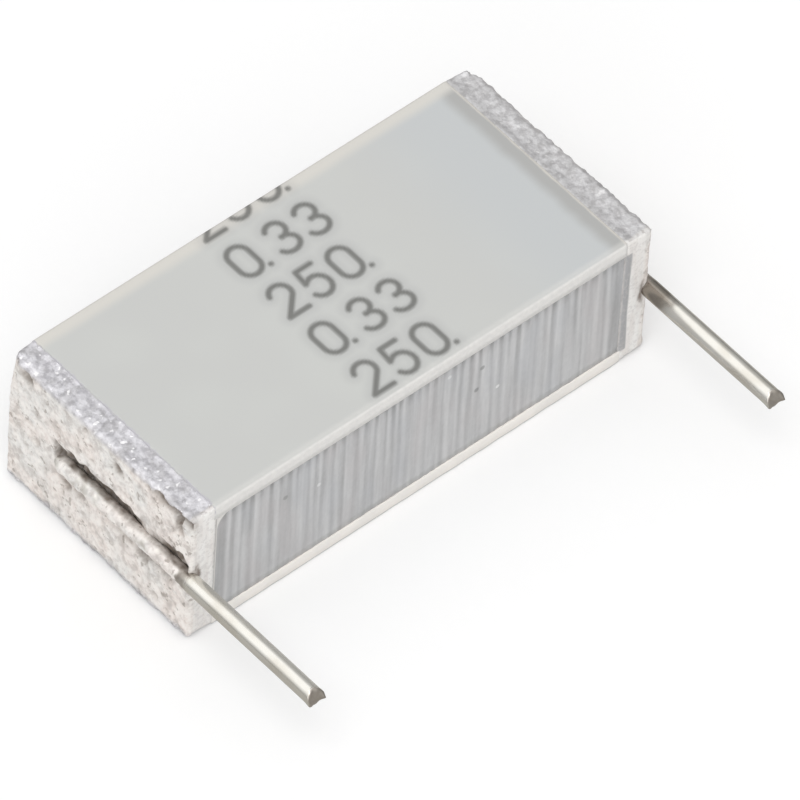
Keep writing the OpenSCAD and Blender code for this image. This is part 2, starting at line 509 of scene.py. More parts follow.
def exit_hollow(y, z):
    """Depth of the hollow above the wire where it leaves the end face."""
    ragged = rough_at(y / MM * 7, z / MM * 7, 4.0)
    along = (y + CONTACT_HALF.y - 0.5 * MM) / (0.42 * MM)
    across = (z - 0.42 * MM) / (0.3 * MM)
    off = math.hypot(along, across) + 0.3 * ragged
    return EXIT_HOLLOW_DEPTH * (1 - smooth_step(0.35, 1.05, off))


def bed_depth(y, z):
    """Depth of the half-round bed of the wire."""
    radius = WIRE_RADIUS * BED_FIT
    if y > WELD_END or abs(z) >= radius:
        return 0.0
    return math.sqrt(radius ** 2 - z ** 2)


def grain_depth(place, settings, seed):
    """How far the surface lies under the envelope of the grains."""
    scaled = place / settings.grain_size
    shift = Vector((seed, 2.0 * seed, 0.5 * seed))
    cells = noise.voronoi(scaled + shift)[0]
    grain = min(1.0, cells[0] * 1.3)
    fine = 0.5 + 0.5 * noise.noise(scaled * 2.7 + shift)
    lumps = 0.5 + 0.5 * noise.noise(scaled * 0.22 - shift)
    broad = 0.5 + 0.5 * noise.noise(scaled * 0.55 + shift)
    return settings.grain_height * (0.75 * grain + 0.3 * fine + 0.8 * lumps + 0.45 * broad)


def round_pair(first, second, limit, half, radius):
    """Rounds the corners of a strip that reaches from 0 to a limit one way and
    from -half to half the other way."""
    core = Vector((min(first, limit - radius), max(radius - half, min(half - radius, second))))
    off = Vector((first, second)) - core
    if not off.length:
        return first, second
    rounded = core + off * (max(abs(off.x), abs(off.y)) / off.length)
    return rounded.x, rounded.y


def outward_direction(depth, y, z):
    """The direction that faces out of the block, which turns round its edges."""
    return Vector((
        max(0, depth - CONTACT_THICKNESS + TOP_EDGE),
        math.copysign(max(0, abs(y) - CONTACT_HALF.y + TOP_EDGE), y),
        math.copysign(max(0, abs(z) - CONTACT_HALF.z + TOP_EDGE), z),
    )).normalized()


def rounded_place(depth, y, z, side):
    """Moves a point of the square block on to its rounded form."""
    foot, top = BACK_EDGES[side]
    back = foot + (top - foot) * smooth_step(0.8 * MM, CONTACT_HALF.z, z)
    upright = back if y > 0 else FRONT_EDGE
    level = TOP_EDGE if z > 0 else BOTTOM_EDGE
    depth, z = round_pair(depth, z, CONTACT_THICKNESS, CONTACT_HALF.z, level)
    depth, y = round_pair(depth, y, CONTACT_THICKNESS, CONTACT_HALF.y, upright)
    across, z = round_pair(abs(y), z, CONTACT_HALF.y, CONTACT_HALF.z, SAWN_ROUND)
    return Vector((depth, math.copysign(across, y), z))


def sprayed_block(settings, side, seed, pits, cracked):
    """The bmesh of an end contact. Its form is worked out in a frame of its own:
    depth outwards from the film end, then y and z from the middle of the wire."""
    bm = bmesh.new()
    across = round(2 * CONTACT_HALF.y / settings.cell)
    up = round(2 * CONTACT_HALF.z / settings.cell)
    bmesh.ops.create_grid(bm, x_segments=across, y_segments=up, size=1)
    for v in bm.verts:
        v.co = Vector((CONTACT_THICKNESS, v.co.x * CONTACT_HALF.y, v.co.y * CONTACT_HALF.z))

    length = CONTACT_THICKNESS + CREEP[side]
    rings = round(length / settings.cell)
    for _ in range(rings):
        grown = bmesh.ops.extrude_edge_only(bm, edges=open_edges(bm))["geom"]
        bmesh.ops.translate(bm, verts=vertices_of(grown), vec=(-length / rings, 0, 0))
    bmesh.ops.holes_fill(bm, edges=open_edges(bm))

    hollow = bm.verts.layers.float.new("hollow")
    for v in bm.verts:
        depth, y, z = v.co
        on_face = depth > CONTACT_THICKNESS - SAME_PLACE
        outward = outward_direction(depth, y, z)
        place = rounded_place(depth, y, z, side)
        sawn = outward.y ** 2
        edge = 2 * outward.x * (abs(outward.z) + 0.5 * abs(outward.y))
        # The grains stand out most round the end face and are cut off by the saw.
        relief = grain_depth(v.co, settings, seed) * (1 - 0.95 * sawn) * (1 + 0.8 * edge)
        relief -= (0.03 * outward.x + 0.04 * edge) * MM
        place -= outward * relief * smooth_step(-0.05 * MM, 0.25 * MM, depth)
        if depth < -0.01 * MM:
            # The creep over the film stays inside the film's sawn edges.
            place.y -= math.copysign(0.03 * MM, y)
        sunk = 0.0
        if on_face:
            sunk = max(pit_depth(y, z, pits), crevice_depth(y, z), exit_hollow(y, z))
            if cracked:
                sunk = max(sunk, crack_depth(y, z))
        place.x += (0.02 * MM if on_face else 0.0) - sunk
        if on_face or abs(z) < WIRE_RADIUS:
            place.x = min(place.x, CONTACT_THICKNESS - bed_depth(y, z))
        # The hollow value darkens the pits, crevices and crack with dirt and painted shade.
        v[hollow] = min(1.0, sunk / DARK_DEPTH)
        v.co = place

    soak(bm, hollow, rounds=4)
    for v in bm.verts:
        v.co = Vector((side * (FILM_END + v.co.x), v.co.y, v.co.z + WIRE_Z))
    return bm


def soak(bm, layer, rounds):
    """Lets the value of a layer spread a little from where it is high, so that the
    dirt and painted shade of a hollow fade out round it."""
    for _ in range(rounds):
        spread = {
            v: 0.72 * sum(e.other_vert(v)[layer] for e in v.link_edges) / len(v.link_edges)
            for v in bm.verts
        }
        for v, value in spread.items():
            v[layer] = max(v[layer], value)


def spray_colour(m, metal):
    """The mottled colour of the sprayed metal where it is pale, with painted glints and the painted
    shade of tiny pits.
    """
    fine = m.noise(0.13 * MM, 3.0, roughness=0.6)
    blotch = m.noise(0.36 * MM)
    broad = m.noise(1.1 * MM)
    pits = m.noise(0.2 * MM)
    return m.paint(
        metal,
        (broad.over(0.38, 0.62), (0.84, 0.825, 0.80)),
        (blotch.over(0.5, 0.64) * 0.6, (0.98, 0.94, 0.90)),
        (blotch.under(0.36, 0.5) * 0.55, (0.56, 0.52, 0.49)),
        # Near-white fine flecks are painted glints on the grains.
        (fine.over(0.5, 0.64) * 0.5, (1.0, 0.97, 0.93)),
        (fine.under(0.36, 0.5) * 0.3, (0.52, 0.47, 0.43)),
        # Small dark specks are the painted shade of tiny pits.
        (pits.under(0.3, 0.38) * 0.55, (0.28, 0.235, 0.20)),
    )


def hollow_dirt_and_shade(m, hollow, colour):
    """Darkens a colour to the brown of the crevices and pits, which is partly dirt and partly
    painted shade.
    """
    patch = m.noise(0.22 * MM)
    return m.blend(hollow * (0.6 + patch.over(0.3, 0.65) * 0.35), colour, (0.20, 0.16, 0.13))


def sprayed_metal(settings):
    """Coarse flame-sprayed metal: pale and warm on the end faces as painted light, silvery
    on the broad sides as a painted reflection, and smooth where the saw has gone through it."""
    m = new_finish("sprayed_metal")
    hollow = m.attribute("hollow")
    fine = m.noise(0.1 * MM, 4.0, roughness=0.6)
    flakes = m.noise(0.18 * MM, 3.0, roughness=0.6)
    coarse = m.noise(0.26 * MM, 3.0)
    right = m.x.over(0, 0.1 * MM)

    broad = m.z.over(BLOCK_TOP - 0.3 * MM, BLOCK_TOP - 0.08 * MM)
    broad = broad.larger(m.z.under(0.08 * MM, 0.3 * MM))
    front = m.y + CONTACT_HALF.y + (coarse - 0.5) * 0.3 * MM
    broad = broad * (0.35 + 0.65 * front.over(0.08 * MM, 0.18 * MM))
    side = m.y.absolute().over(CONTACT_HALF.y - 0.05 * MM, CONTACT_HALF.y - 0.02 * MM)
    side = side * m.x.absolute().under(FILM_END + 0.5 * MM, FILM_END + 0.68 * MM)

    clump = m.noise(0.45 * MM)
    painted_glints = m.noise(0.17 * MM, 1.0)
    # The broad sides' silvery lavender is a painted reflection of cool surroundings, over the
    # metal's own flakes and clumps.
    silver = m.paint(
        (0.51, 0.50, 0.525),
        (flakes.over(0.36, 0.62), (0.74, 0.73, 0.76)),
        (fine.under(0.34, 0.46) * 0.3, (0.34, 0.33, 0.33)),
        (clump.under(0.38, 0.5) * 0.3, (0.38, 0.37, 0.365)),
        (clump.over(0.52, 0.64) * 0.35, (0.85, 0.84, 0.87)),
        # Painted glints: white flecks on the broad sides.
        (painted_glints.over(0.64, 0.74), (1.0, 0.99, 1.0)),
    )
    # The right contact's top is painted greyer than the left, as in other light, with painted shade
    # along its outer rounded edge.
    right_top_shade = m.paint(
        (0.52, 0.51, 0.505),
        (flakes.over(0.36, 0.62), (0.67, 0.665, 0.66)),
        (m.x.over(WIRE_X - 0.17 * MM, WIRE_X - 0.05 * MM) * 0.5, (0.30, 0.28, 0.27)),
    )
    silver = m.blend(right * 0.65, silver, right_top_shade)
    # Painted light: the same metal is warm and pale on the lit end faces and silvery on the broad
    # sides, where it shows a painted reflection.
    colour = m.blend(broad, spray_colour(m, settings.metal), silver)

    streak = m.noise(0.2 * MM, 2.0, (1, 1, 0.15))
    film = (m.x + (streak - 0.5) * 0.1 * MM).over(FILM_END + 0.1 * MM, FILM_END + 0.17 * MM)
    stack = m.z.over(FILM_STACK[0].z - 0.02 * MM, FILM_STACK[0].z + 0.05 * MM)
    stack = stack * m.z.under(FILM_STACK[1].z - 0.05 * MM, FILM_STACK[1].z + 0.02 * MM)
    joint = (m.x + (fine - 0.5) * 0.2 * MM).over(-FILM_END - 0.09 * MM, -FILM_END)
    away = hypotenuse(m.x.absolute() - WIRE_X, (m.z - WIRE_Z) * 0.7)
    away = away + (coarse - 0.5) * 0.3 * MM
    smooth = m.paint(
        (0.86, 0.825, 0.795),
        (streak.over(0.35, 0.65), (0.95, 0.935, 0.91)),
        ((1 - film) * right * stack, (0.42, 0.42, 0.43)),
        (fine.under(0.4, 0.52) * 0.35, (0.62, 0.59, 0.575)),
        (joint * stack * (1 - right) * 0.6, (0.40, 0.385, 0.38)),
        (away.under(0.28 * MM, 0.42 * MM) * 0.85, (0.17, 0.12, 0.09)),
    )
    colour = m.blend(side, colour, smooth)
    colour = hollow_dirt_and_shade(m, hollow, colour)

    rough = 0.6 - 0.2 * broad * flakes + 0.2 * hollow - 0.1 * side
    grain = m.bump(coarse, 0.06 * MM, 0.8 * (1 - side))
    normal = m.bump(fine, 0.02 * MM, 0.4 * (1 - side), grain)
    metallic = (0.1 + 0.3 * broad) * (1 - hollow) * (1 - side)
    return m.finish(Base_Color=colour, Metallic=metallic, Roughness=rough, Normal=normal)


class CAPACITOR_OT_contacts(Operator):
    """Makes the two end contacts of sprayed metal"""
    bl_idname = "capacitor.contacts"
    bl_label = "End contacts"

    def execute(self, context):
        settings = context.scene.capacitor_contacts
        material = sprayed_metal(settings)
        for side, word, seed in ((-1, "left", 11), (1, "right", 29)):
            pits = small_pits(settings, seed) + (LARGE_PITS if side < 0 else [])
            bm = sprayed_block(settings, side, seed, pits, cracked=side < 0)
            finished_piece(f"{word}_sprayed_metal", bm, material,
                           f"{word}_contact")
        return {"FINISHED"}


# --- Lead wires -----------------------------------------------------------


WIRE_SIDES = 40
WIRE_CELL = 0.05 * MM
# Place of the wire's ridge below its middle where it is cut, and how steeply
# its tip slopes to that ridge from above and from below.
RIDGE_DROP = 0.25 * WIRE_RADIUS
UPPER_SLOPE = 0.55
LOWER_SLOPE = 0.35


def welded_wire(settings, x, seed):
    """The bmesh of a lead wire: grained where it is welded, plain in front of
    the block and spread at its sheared tip."""
    bm = bmesh.new()
    length = WELD_END - WIRE_TIP
    rings = round(length / WIRE_CELL)
    turn = Matrix.Rotation(math.radians(90), 4, "X")
    bmesh.ops.create_circle(bm, cap_ends=True, segments=WIRE_SIDES, radius=WIRE_RADIUS, matrix=turn)
    bmesh.ops.translate(bm, verts=bm.verts[:], vec=(0, WELD_END, 0))
    front = bm.faces[:]
    for _ in range(rings):
        grown = bmesh.ops.extrude_face_region(bm, geom=front)["geom"]
        bmesh.ops.delete(bm, geom=front, context="FACES_ONLY")
        front = [g for g in grown if isinstance(g, bmesh.types.BMFace)]
        bmesh.ops.translate(bm, verts=vertices_of(grown), vec=(0, -length / rings, 0))
    bmesh.ops.holes_fill(bm, edges=open_edges(bm))
    ends = [f for f in bm.faces if len(f.verts) > 4]
    for _ in range(3):
        bmesh.ops.inset_region(bm, faces=ends, thickness=WIRE_RADIUS / 4, depth=0.0)

    weld = bm.verts.layers.float.new("weld")
    hollow = bm.verts.layers.float.new("hollow")
    cut = bm.verts.layers.float.new("cut")
    inward = -math.copysign(1, x)
    front_edge = -HALF_WIDTH
    for v in bm.verts:
        welded = smooth_step(front_edge - 0.12 * MM, front_edge + 0.35 * MM, v.co.y)
        scale = 1.0
        if welded:
            place = Vector((v.co.x, v.co.y, v.co.z + seed * MM)) / (0.17 * MM)
            bumps = noise.noise(place) + 0.4 * noise.noise(place * 2.1)
            scale -= welded * settings.spatter * (0.8 - bumps) / WIRE_RADIUS
            # The wire is darkened on its inner side in the crevice, by dirt and painted shade, and
            # all round where it leaves the block.
            sunk = smooth_step(-0.13 * MM, -0.02 * MM, inward * v.co.x + 0.03 * MM * bumps)
            near_exit = 1 - smooth_step(front_edge + 0.5 * MM, front_edge + 0.9 * MM, v.co.y)
            v[hollow] = sunk * max(crevice_strength(v.co.y, v.co.z > 0), near_exit) * welded
            dark_near_block = abs(v.co.y - front_edge - (0.14 + 0.12 * bumps) * MM)
            v[hollow] = max(v[hollow], 0.8 * (1 - smooth_step(0.08 * MM, 0.24 * MM, dark_near_block)))
        back_end = smooth_step(WELD_END - 0.3 * MM, WELD_END, v.co.y)
        scale *= math.sqrt(max(0.1, 1 - 0.75 * back_end ** 2))
        v[weld] = welded
        v[cut] = float(v.co.y < WIRE_TIP + 0.01 * MM)
        v.co.x, v.co.z = v.co.x * scale, v.co.z * scale
        shear_tip(v, settings)
        v.co += Vector((x, 0, WIRE_Z))
    return bm


def shear_tip(vert, settings):
    """Pinches the tip of a wire as side cutters do: its upper and lower sides
    slope to a ragged ridge, which is pressed out at both ends."""
    near_tip = 1 - smooth_step(WIRE_TIP, WIRE_TIP + 0.3 * MM, vert.co.y)
    if not near_tip:
        return
    height = vert.co.z + RIDGE_DROP
    slope = UPPER_SLOPE if height > 0 else LOWER_SLOPE
    ripple = noise.noise(vert.co / (0.1 * MM))
    middle = 1 - (vert.co.x / WIRE_RADIUS) ** 2
    vert.co.y += near_tip * (slope * abs(height) + (0.04 * middle + 0.03 * ripple) * MM)
    spread = settings.burr * near_tip * (1 - abs(height) / WIRE_RADIUS)
    vert.co.x = max(-WIRE_RADIUS, min(WIRE_RADIUS, vert.co.x * (1 + spread / WIRE_RADIUS)))


def tinned_wire(settings):
    """Drawn tinned wire, coated with sprayed metal where it is welded and darker
    where it leaves the block."""
    m = new_finish("tinned_wire")
    weld = m.attribute("weld")
    drawn = m.noise(0.05 * MM, 3.0, (1, 0.05, 1))
    blotch = m.noise(0.5 * MM, 3.0, (1, 0.5, 1))
    fine = m.noise(0.08 * MM, 4.0)
    patch = m.noise(0.45 * MM)
    cut = m.attribute("cut")
    # The right wire is darker for about a millimetre where it leaves the block.
    dark_near_block = (0 - m.y).over(HALF_WIDTH - 0.25 * MM, HALF_WIDTH)
    reach = (0 - m.y + (patch - 0.5) * 1.2 * MM).under(HALF_WIDTH + 0.5 * MM, HALF_WIDTH + 1.2 * MM)
    dark_near_block = dark_near_block * reach * m.x.over(0, 0.1 * MM)
    tin = m.paint(
        settings.tin,
        (blotch.over(0.4, 0.7), (0.76, 0.73, 0.66)),
        (dark_near_block * 0.75, (0.17, 0.135, 0.10)),
        (cut * (0.4 + 0.4 * fine), (0.30, 0.25, 0.21)),
    )
    coat = weld * (0.45 + 0.55 * patch.under(0.5, 0.62))
    colour = m.blend(coat, tin, spray_colour(m, (0.88, 0.82, 0.78)))
    colour = hollow_dirt_and_shade(m, m.attribute("hollow"), colour)
    rough = 0.2 + 0.08 * blotch + 0.38 * coat + 0.2 * cut
    scratches = m.bump(drawn, 0.004 * MM, 0.5)
    normal = m.bump(fine * coat, 0.02 * MM, 0.8, scratches)
    return m.finish(Base_Color=colour, Metallic=1 - 0.85 * coat, Roughness=rough, Normal=normal)


class CAPACITOR_OT_leads(Operator):
    """Makes the two tinned lead wires"""
    bl_idname = "capacitor.leads"
    bl_label = "Lead wires"

    def execute(self, context):
        settings = context.scene.capacitor_leads
        material = tinned_wire(settings)
        for side, word in ((-1, "left"), (1, "right")):
            bm = welded_wire(settings, side * WIRE_X, seed=3 + side)
            finished_piece(f"{word}_tinned_wire", bm, material, f"{word}_lead")
        return {"FINISHED"}


# --- Film stack -----------------------------------------------------------


def saw_mark_depth(x, z, settings, seed):
    """Depth of the upright saw marks at a place on a sawn side."""
    along = x / settings.mark_pitch
    coarse = rough_at(along * 1.1, z / (6 * MM), seed)
    close = rough_at(along * 2.6, z / (2.5 * MM), seed + 5.0)
    return settings.mark_depth * (0.5 + 0.45 * coarse + 0.35 * close)


def sawn_block(settings):
    """The bmesh of the film stack, with saw marks on its two long sides."""
    low, high = FILM_STACK
    bm = box_mesh(low, high)
    cut_along(bm, axis=0, cuts=300)
    cut_along(bm, axis=2, cuts=14)
    middle = (low + high) / 2
    for v in bm.verts:
        side = -1 if v.co.y < middle.y else 1
        depth = saw_mark_depth(v.co.x, v.co.z, settings, seed=2.0 + side)
        v.co.y -= side * max(0.0, depth)
    return bm


# Spots on the sawn front: place along X and Z and radius in millimetres, then
# brightness.
BLEMISHES = [(2.0, 3.24, 0.05, 0.22), (1.85, 2.51, 0.05, 0.2), (2.56, 2.12, 0.04, 0.95),
             (-3.3, 2.75, 0.04, 0.85), (-4.4, 3.1, 0.05, 0.25), (0.9, 3.7, 0.04, 0.8)]


def sawn_film(settings):
    """Sawn metallised film: grey with uneven upright streaks, strongest under
    the top cover, with painted shade near both ends, and pale round its upper left corner."""
    m = new_finish("sawn_film")
    low, high = FILM_STACK
    streak = m.noise(0.17 * MM, 1.0, (1, 0.2, 0.04))
    hair = m.noise(0.08 * MM, 2.0, (1, 0.2, 0.06))
    cloud = m.noise(1.2 * MM)
    grit = m.noise(0.07 * MM, 3.0, (1, 1, 0.5))
    tint = m.noise(0.8 * MM, 1.0, (1, 1, 0.4))
    drift = (m.noise(1.3 * MM, 2.0, (1, 0.2, 0.12)) - 0.5) * 0.6 * MM
    bars = ((m.x + drift) * (2 * math.pi / settings.bar_pitch)).sine()
    upper = m.z.over(low.z + 0.8 * MM, high.z - 0.2 * MM)
    rim = m.z.over(high.z - 0.55 * MM, high.z)
    tone = bars * (0.05 + 0.035 * upper) + (streak - 0.5) * (0.45 + 0.2 * upper)
    tone = tone + (hair - 0.5) * 0.2 + (cloud - 0.5) * 0.15 + (grit - 0.5) * 0.16
    # Painted shade: the film is darker near both ends, where the contacts stand proud of it.
    ends = m.x.absolute().over(high.x - 0.5 * MM, high.x - 0.15 * MM)
    light = 0.53 + tone - 0.2 * ends - 0.1 * rim - 0.14 * rim * bars.under(-0.6, 0.2)
    colour = m.paint(
        m.ramp(light, [(0.0, shade(0.24)), (0.5, settings.film), (1.0, shade(0.80))]),
        (tint.over(0.5, 0.7) * 0.2, (0.48, 0.50, 0.54)),
        (tint.under(0.3, 0.5) * 0.2, (0.57, 0.52, 0.52)),
    )
    for x, z, size, spot in BLEMISHES:
        away = hypotenuse(m.x - x * MM, m.z - z * MM)
        near = away.under(size * MM, 2 * size * MM) * m.y.under(-0.1 * MM, 0)
        colour = m.blend(near * 0.6, colour, shade(spot))

    radius = 0.55 * MM
    past_x = (low.x + radius - m.x + 0.05 * MM).larger(0.0)
    past_z = (m.z - high.z + radius).larger(0.0)
    corner = hypotenuse(past_x, past_z).over(radius - 0.05 * MM, radius)
    colour = m.blend(corner, colour, (0.82, 0.80, 0.77))
    normal = m.bump(streak + 0.4 * hair, 0.01 * MM, 0.4)
    return m.finish(Base_Color=colour, Roughness=0.5 + 0.15 * hair, Normal=normal)


class CAPACITOR_OT_film_stack(Operator):
    """Makes the sawn block of metallised film"""
    bl_idname = "capacitor.film_stack"
    bl_label = "Film stack"

    def execute(self, context):
        settings = context.scene.capacitor_stack
        bm = sawn_block(settings)
        finished_piece("sawn_film_stack", bm, sawn_film(settings), "film_stack")
        return {"FINISHED"}


# --- Printed numbers ------------------------------------------------------


def arc(centre_x, centre_y, radius_x, radius_y, start, end, steps=12):
    """Points along part of an ellipse, in degrees anticlockwise from the right."""
    return [
        (centre_x + radius_x * math.cos(math.radians(start + (end - start) * i / steps)),
         centre_y + radius_y * math.sin(math.radians(start + (end - start) * i / steps)))
        for i in range(steps + 1)
    ]


# The middle line of each printed sign, in a field 0.6 wide and 1 high.
STROKES = {
    "0": [arc(0.3, 0.7, 0.3, 0.3, 0, 180) + arc(0.3, 0.3, 0.3, 0.3, 180, 360) + [(0.6, 0.7)]],
    "2": [arc(0.3, 0.71, 0.29, 0.29, 165, -35) + [(0.0, 0.0), (0.6, 0.0)]],
    "3": [arc(0.29, 0.75, 0.27, 0.25, 155, -90), arc(0.29, 0.26, 0.31, 0.26, 90, -155)],
    "5": [[(0.55, 1.0), (0.08, 1.0), (0.03, 0.55)] + arc(0.28, 0.33, 0.31, 0.33, 125, -150)],
    ".": [[(0.0, 0.03), (0.005, 0.03)]],
}
SIGN_WIDTH = 0.6
SIGN_ADVANCE = 0.93
DOT_ADVANCE = 0.46
DOT_GAP = 0.14
# Where the print starts: from the front edge to its first row, and along X.
FRONT_MARGIN = 0.24 * MM
PRINT_START = -1.42 * MM
# How far round a stroke the painted shadow of the ink reaches.
INK_SHADOW_REACH = 0.33 * MM


def print_lines(settings):
    """The middle lines of all rows of print, in metres on the top face. The rows
    repeat across the wafer, so the saw has cut through one at the back."""
    lines = []
    height = settings.digit_height
    baseline = -HALF_WIDTH + FRONT_MARGIN
    rows = 1 + int((HALF_WIDTH - baseline) / settings.row_pitch)
    for row in range(rows):
        text = settings.upper_number if row % 2 else settings.lower_number
        cursor = PRINT_START
        for sign in text:
            if sign == ".":
                cursor -= (SIGN_ADVANCE - SIGN_WIDTH - DOT_GAP) * height
            for stroke in STROKES[sign]:
                lines.append([
                    Vector((cursor + x * height, baseline + row * settings.row_pitch + y * height))
                    for x, y in stroke
                ])
            cursor += height * (DOT_ADVANCE if sign == "." else SIGN_ADVANCE)
    return lines


def ink_at(place, lines, settings):
    """How much ink lies on a place, and how dark the painted shadow of the ink is there."""
    edge = settings.stroke / 2
    reach = edge + INK_SHADOW_REACH
    nearest = math.inf
    for line, low, high in lines:
        if low.x - reach < place.x < high.x + reach and low.y - reach < place.y < high.y + reach:
            nearest = min(nearest, distance_to_path(place, line))
    ink = 1 - smooth_step(edge - 0.045 * MM, edge + 0.05 * MM, nearest)
    halo = 1 - smooth_step(edge, reach, nearest)
    return ink, halo


# --- Cover films ----------------------------------------------------------

# The top film laps over the metal on the left and ends under it on the right.
FILM_LEFT = -FILM_END - 0.1 * MM
FILM_RIGHT = FILM_END - 0.05 * MM
END_ROUND = 0.03 * MM
PRINT_CELL = 0.055 * MM


def top_film(settings):
    """The bmesh of the top cover film, with the printed numbers held as values
    of its upper face."""
    low, high = TOP_COVER
    low, high = Vector((FILM_LEFT, low.y, low.z)), Vector((FILM_RIGHT, high.y, high.z))
    bm = bmesh.new()
    across = round((high.x - low.x) / PRINT_CELL)
    deep = round((high.y - low.y) / PRINT_CELL)
    bmesh.ops.create_grid(bm, x_segments=across, y_segments=deep, size=1)
    half, middle = (high - low) / 2, (high + low) / 2
    for v in bm.verts:
        v.co = Vector((middle.x + v.co.x * half.x, v.co.y * half.y, high.z))

    ink = bm.verts.layers.float.new("ink")
    halo = bm.verts.layers.float.new("halo")
    lines = [
        (line, Vector(map(min, zip(*line))), Vector(map(max, zip(*line))))
        for line in print_lines(settings)
    ]
    for v in bm.verts:
        v[ink], v[halo] = ink_at(v.co.xy, lines, settings)

    for drop in (0.14 * MM, 0.3 * MM, high.z - low.z):
        grown = bmesh.ops.extrude_edge_only(bm, edges=open_edges(bm))["geom"]
        for v in vertices_of(grown):
            v.co.z = high.z - drop
            v[ink] = v[halo] = 0.0
    bmesh.ops.holes_fill(bm, edges=open_edges(bm))

    round_upper_edges(bm, low, high)
    return bm


def round_upper_edges(bm, low, high):
    """Rounds the upper edges, widely along the sawn sides and narrowly at the
    ends, and roughens the left end."""
    for v in bm.verts:
        if v.co.x < low.x + SAME_PLACE:
            rag = rough_at(v.co.y / (0.3 * MM), v.co.z / (0.3 * MM), 7.0)
            rag += 0.6 * rough_at(v.co.y / (0.09 * MM), v.co.z / (0.3 * MM), 2.0)
            v.co.x += 0.02 * MM * (1 + rag)
        if v.co.z < high.z - SAME_PLACE:
            continue
        v.co.z -= rounding_fall(high.y - abs(v.co.y), SAWN_ROUND)
        v.co.z -= rounding_fall(min(high.x - v.co.x, v.co.x - low.x), END_ROUND)


def rounding_fall(gap, radius):
    """How far a rounded edge falls away at a distance from the side it meets."""
    share = 1 - max(0.0, min(1.0, gap / radius))
    return radius * (1 - math.sqrt(1 - share * share))


def cover_film(settings):
    """Milky polyester film: smooth on top, pale and matt on its sawn edges, with a
    painted highlight along its front edge, and darker in a band near the right end."""
    m = new_finish("cover_film")
    ink, halo = m.attribute("ink"), m.attribute("halo")
    cloud = m.noise(2.4 * MM, 1.0)
    wave = m.noise(0.5 * MM, 2.0, (0.4, 1, 1))
    rag = (wave - 0.5) * 0.3 * MM

    band = (m.x + rag * 0.5).over(FILM_END - 0.7 * MM, FILM_END - 0.3 * MM)
    lip = (m.x + rag * 0.2).over(FILM_RIGHT - 0.12 * MM, FILM_RIGHT - 0.03 * MM)
    back = (m.y + rag * 0.3).over(HALF_WIDTH - 0.55 * MM, HALF_WIDTH - 0.22 * MM)
    front = (0 - m.y).over(HALF_WIDTH - 0.22 * MM, HALF_WIDTH - 0.06 * MM)
    film = m.paint(
        settings.film,
        (cloud.over(0.4, 0.7) * 0.5, (0.618, 0.628, 0.604)),
        (m.x.over(FILM_END - 4.2 * MM, FILM_END - 1.1 * MM), (0.57, 0.588, 0.593)),
        (band, (0.445, 0.445, 0.435)),
        (lip, (0.74, 0.71, 0.655)),
        (back, (0.694, 0.675, 0.63)),
        # Painted highlight along the rounded front edge.
        (front * 0.4, (0.74, 0.73, 0.70)),
        # Painted shadow of the ink, soft round each stroke.
        (halo * 0.2, (0.32, 0.32, 0.33)),
        (ink * 0.88, settings.ink),
    )

    cut = m.y.absolute().over(HALF_WIDTH - 0.05 * MM, HALF_WIDTH - 0.01 * MM)
    dust = m.noise(0.1 * MM, 4.0)
    edge = m.blend(dust.under(0.4, 0.6) * 0.3, settings.cut_edge, (0.70, 0.69, 0.68))
    colour = m.blend(cut, film, edge)
    spray = 0 - m.x + rag * 0.5 + (dust - 0.5) * 0.15 * MM
    spray = spray.over(-FILM_LEFT - 0.07 * MM, -FILM_LEFT)
    colour = m.blend(spray, colour, (0.55, 0.54, 0.57))
    rough = 0.38 + 0.2 * cut + 0.05 * cloud
    return m.finish(Base_Color=colour, Roughness=rough)


def bottom_film():
    """The bmesh of the film underneath, slightly wavy where the saw cut it."""
    low, high = BOTTOM_COVER
    bm = box_mesh(low, high, END_ROUND)
    cut_along(bm, axis=0, cuts=120)
    for v in bm.verts:
        side = -1 if v.co.y < 0 else 1
        v.co.y -= side * 0.012 * MM * (1 + noise.noise(v.co / (0.5 * MM)))
    return bm


def underside_film(settings):
    """The thin film underneath, creamy on its sawn edges."""
    m = new_finish("underside_film")
    cloud = m.noise(0.8 * MM)
    edge = m.blend(cloud.over(0.3, 0.7), settings.underside, (0.90, 0.87, 0.83))
    below = m.z.under(0.03 * MM, 0.06 * MM)
    colour = m.blend(below, edge, settings.film)
    return m.finish(Base_Color=colour, Roughness=0.4 + 0.1 * cloud)


class CAPACITOR_OT_covers(Operator):
    """Makes the cover films above and below the stack, with the printed numbers"""
    bl_idname = "capacitor.covers"
    bl_label = "Cover films"

    def execute(self, context):
        settings = context.scene.capacitor_covers
        unknown = set(settings.upper_number + settings.lower_number) - set(STROKES)
        if unknown:
            raise ValueError(f"there are no strokes for {sorted(unknown)}")
        finished_piece("top_cover_film", top_film(settings), cover_film(settings),
                       "top_cover")
        finished_piece("bottom_cover_film", bottom_film(), underside_film(settings),
                       "bottom_cover")
        return {"FINISHED"}


# --- Stage ----------------------------------------------------------------

# The floor lies a hair below the part, so that their faces don't share a plane.
FLOOR_GAP = 0.01 * MM
FLOOR_HALF = 1.5
# Name, place and size of each lamp, and its share of the key power.
LAMPS = [("key", (-0.18, -0.12, 0.42), 0.3, 1.0), ("fill", (-0.35, -0.25, 0.16), 0.25, 0.35)]


